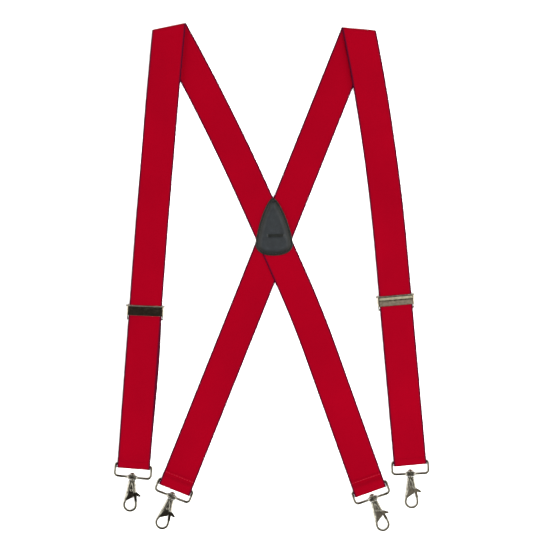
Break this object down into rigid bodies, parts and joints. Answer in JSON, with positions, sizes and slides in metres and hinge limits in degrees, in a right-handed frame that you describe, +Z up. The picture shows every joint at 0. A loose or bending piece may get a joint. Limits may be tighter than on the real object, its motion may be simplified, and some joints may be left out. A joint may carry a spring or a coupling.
{
  "type": "suspenders",
  "caption": "Dress suspenders with an X back: crossed elastic straps under a leather patch, slide adjusters with clamping levers, and swivelling trigger hooks on rings.",
  "frame": {"origin": "on the surface that the suspenders lie on, under the crossing of the back straps and the leather patch", "axes": "+Y along the suspenders from the hooks towards the shoulder folds; +X to the right seen from above; +Z up, out of the surface"},
  "size_m": [0.3672, 0.5908, 0.0102],
  "materials": {
    "webbing": "ribbed woven elastic webbing, soft sheen",
    "webbing_thread": "matte polyester thread",
    "patch_leather": "smooth semi-gloss grained leather",
    "patch_thread": "matte thread",
    "nickel_wire": "bright nickel plate",
    "nickel_casting": "bright nickel plate over a tumbled casting",
    "nickel_sheet": "bright nickel plate over pressed sheet",
    "nickel_pins": "bright nickel plate",
    "spring_wire": "drawn spring wire"
  },
  "bodies": {
    "back": {"left_back_strap": "webbing", "right_back_strap": "webbing", "patch_front": "patch_leather", "patch_back": "patch_leather", "patch_stitching": "patch_thread", "back_end_stitching": "webbing_thread", "left_shoulder_bend": "webbing", "right_shoulder_bend": "webbing"},
    "left_front": {"left_front_strap": "webbing"},
    "left_loop": {"left_hook_loop": "webbing"},
    "left_adjuster": {"left_adjuster_frame": "nickel_sheet", "left_adjuster_rivets": "nickel_pins", "left_tail_stitching": "webbing_thread"},
    "left_lever": {"left_adjuster_lever": "nickel_sheet"},
    "right_front": {"right_front_strap": "webbing"},
    "right_loop": {"right_hook_loop": "webbing"},
    "right_adjuster": {"right_adjuster_frame": "nickel_sheet", "right_adjuster_rivets": "nickel_pins", "right_tail_stitching": "webbing_thread"},
    "right_lever": {"right_adjuster_lever": "nickel_sheet"},
    "left_front_ring": {"left_front_ring": "nickel_wire"},
    "left_front_claw": {"left_front_claw": "nickel_casting", "left_front_swivel_pin": "nickel_pins", "left_front_gate_rivet": "nickel_pins", "left_front_gate_spring": "spring_wire"},
    "left_front_gate": {"left_front_gate": "nickel_casting"},
    "right_front_ring": {"right_front_ring": "nickel_wire"},
    "right_front_claw": {"right_front_claw": "nickel_casting", "right_front_swivel_pin": "nickel_pins", "right_front_gate_rivet": "nickel_pins", "right_front_gate_spring": "spring_wire"},
    "right_front_gate": {"right_front_gate": "nickel_casting"},
    "left_back_ring": {"left_back_ring": "nickel_wire"},
    "left_back_claw": {"left_back_claw": "nickel_casting", "left_back_swivel_pin": "nickel_pins", "left_back_gate_rivet": "nickel_pins", "left_back_gate_spring": "spring_wire"},
    "left_back_gate": {"left_back_gate": "nickel_casting"},
    "right_back_ring": {"right_back_ring": "nickel_wire"},
    "right_back_claw": {"right_back_claw": "nickel_casting", "right_back_swivel_pin": "nickel_pins", "right_back_gate_rivet": "nickel_pins", "right_back_gate_spring": "spring_wire"},
    "right_back_gate": {"right_back_gate": "nickel_casting"}
  },
  "joints": [
    {"name": "left_shoulder_fold", "type": "hinge", "parent": "back", "child": "left_front", "pos_m": [-0.12126, 0.24504, 0.0034], "axis": [-0.979, -0.2036, 0], "range_deg": [0, 175], "deforming": ["left_shoulder_bend"]},
    {"name": "left_strap_length", "type": "slide", "parent": "left_front", "child": "left_loop", "axis": [0.075, 0.9972, 0], "range_m": [-0.09, 0.04], "deforming": ["left_hook_loop"]},
    {"name": "left_adjuster_slide", "type": "slide", "parent": "left_loop", "child": "left_adjuster", "axis": [0.075, 0.9972, 0], "range_m": [-0.09, 0.04]},
    {"name": "left_lever_hinge", "type": "hinge", "parent": "left_adjuster", "child": "left_lever", "pos_m": [-0.14927, -0.07618, 0.0076], "axis": [-0.9992, 0.0401, 0], "range_deg": [0, 90]},
    {"name": "right_shoulder_fold", "type": "hinge", "parent": "back", "child": "right_front", "pos_m": [0.09788, 0.24211, 0.0034], "axis": [-0.996, 0.0898, 0], "range_deg": [0, 175], "deforming": ["right_shoulder_bend"]},
    {"name": "right_strap_length", "type": "slide", "parent": "right_front", "child": "right_loop", "axis": [-0.0889, 0.996, 0], "range_m": [-0.09, 0.04], "deforming": ["right_hook_loop"]},
    {"name": "right_adjuster_slide", "type": "slide", "parent": "right_loop", "child": "right_adjuster", "axis": [-0.0889, 0.996, 0], "range_m": [-0.09, 0.04]},
    {"name": "right_lever_hinge", "type": "hinge", "parent": "right_adjuster", "child": "right_lever", "pos_m": [0.14039, -0.06414, 0.0076], "axis": [-0.996, -0.0889, 0], "range_deg": [0, 90]},
    {"name": "left_front_ring_tilt", "type": "hinge", "parent": "left_loop", "child": "left_front_ring", "pos_m": [-0.16297, -0.26087, 0.0036], "axis": [-0.9936, 0.1132, 0], "range_deg": [-100, 150]},
    {"name": "left_front_swivel", "type": "hinge", "parent": "left_front_ring", "child": "left_front_claw", "pos_m": [-0.16462, -0.27528, 0.0036], "axis": [-0.0715, -0.9974, 0], "continuous": true},
    {"name": "left_front_gate_hinge", "type": "hinge", "parent": "left_front_claw", "child": "left_front_gate", "pos_m": [-0.16569, -0.29024, 0.0036], "axis": [0, 0, -1], "range_deg": [0, 25], "stiffness_Nm_per_rad": 0.01, "springref_deg": -17.19, "deforming": ["left_front_gate_spring"]},
    {"name": "right_front_ring_tilt", "type": "hinge", "parent": "right_loop", "child": "right_front_ring", "pos_m": [0.15758, -0.25678, 0.0036], "axis": [-0.999, -0.0436, 0], "range_deg": [-100, 150]},
    {"name": "right_front_swivel", "type": "hinge", "parent": "right_front_ring", "child": "right_front_claw", "pos_m": [0.15821, -0.27126, 0.0036], "axis": [0.0523, -0.9986, 0], "continuous": true},
    {"name": "right_front_gate_hinge", "type": "hinge", "parent": "right_front_claw", "child": "right_front_gate", "pos_m": [0.159, -0.28624, 0.0036], "axis": [0, 0, -1], "range_deg": [0, 25], "stiffness_Nm_per_rad": 0.01, "springref_deg": -17.19, "deforming": ["right_front_gate_spring"]},
    {"name": "left_back_ring_tilt", "type": "hinge", "parent": "back", "child": "left_back_ring", "pos_m": [0.10983, -0.2862, 0.0036], "axis": [-0.9421, -0.3355, 0], "range_deg": [-100, 150]},
    {"name": "left_back_swivel", "type": "hinge", "parent": "left_back_ring", "child": "left_back_claw", "pos_m": [0.11469, -0.29986, 0.0036], "axis": [0.3649, -0.9311, 0], "continuous": true},
    {"name": "left_back_gate_hinge", "type": "hinge", "parent": "left_back_claw", "child": "left_back_gate", "pos_m": [0.12016, -0.31383, 0.0036], "axis": [0, 0, -1], "range_deg": [0, 25], "stiffness_Nm_per_rad": 0.01, "springref_deg": -17.19, "deforming": ["left_back_gate_spring"]},
    {"name": "right_back_ring_tilt", "type": "hinge", "parent": "back", "child": "right_back_ring", "pos_m": [-0.1136, -0.28402, 0.0036], "axis": [-0.9285, 0.3714, 0], "range_deg": [-100, 150]},
    {"name": "right_back_swivel", "type": "hinge", "parent": "right_back_ring", "child": "right_back_claw", "pos_m": [-0.11899, -0.29749, 0.0036], "axis": [-0.3322, -0.9432, 0], "continuous": true},
    {"name": "right_back_gate_hinge", "type": "hinge", "parent": "right_back_claw", "child": "right_back_gate", "pos_m": [-0.12397, -0.31164, 0.0036], "axis": [0, 0, -1], "range_deg": [0, 25], "stiffness_Nm_per_rad": 0.01, "springref_deg": -17.19, "deforming": ["right_back_gate_spring"]}
  ],
  "couplings": [
    {"joint": "left_adjuster_slide", "follows": "left_strap_length", "ratio": 1},
    {"joint": "right_adjuster_slide", "follows": "right_strap_length", "ratio": 1}
  ]
}
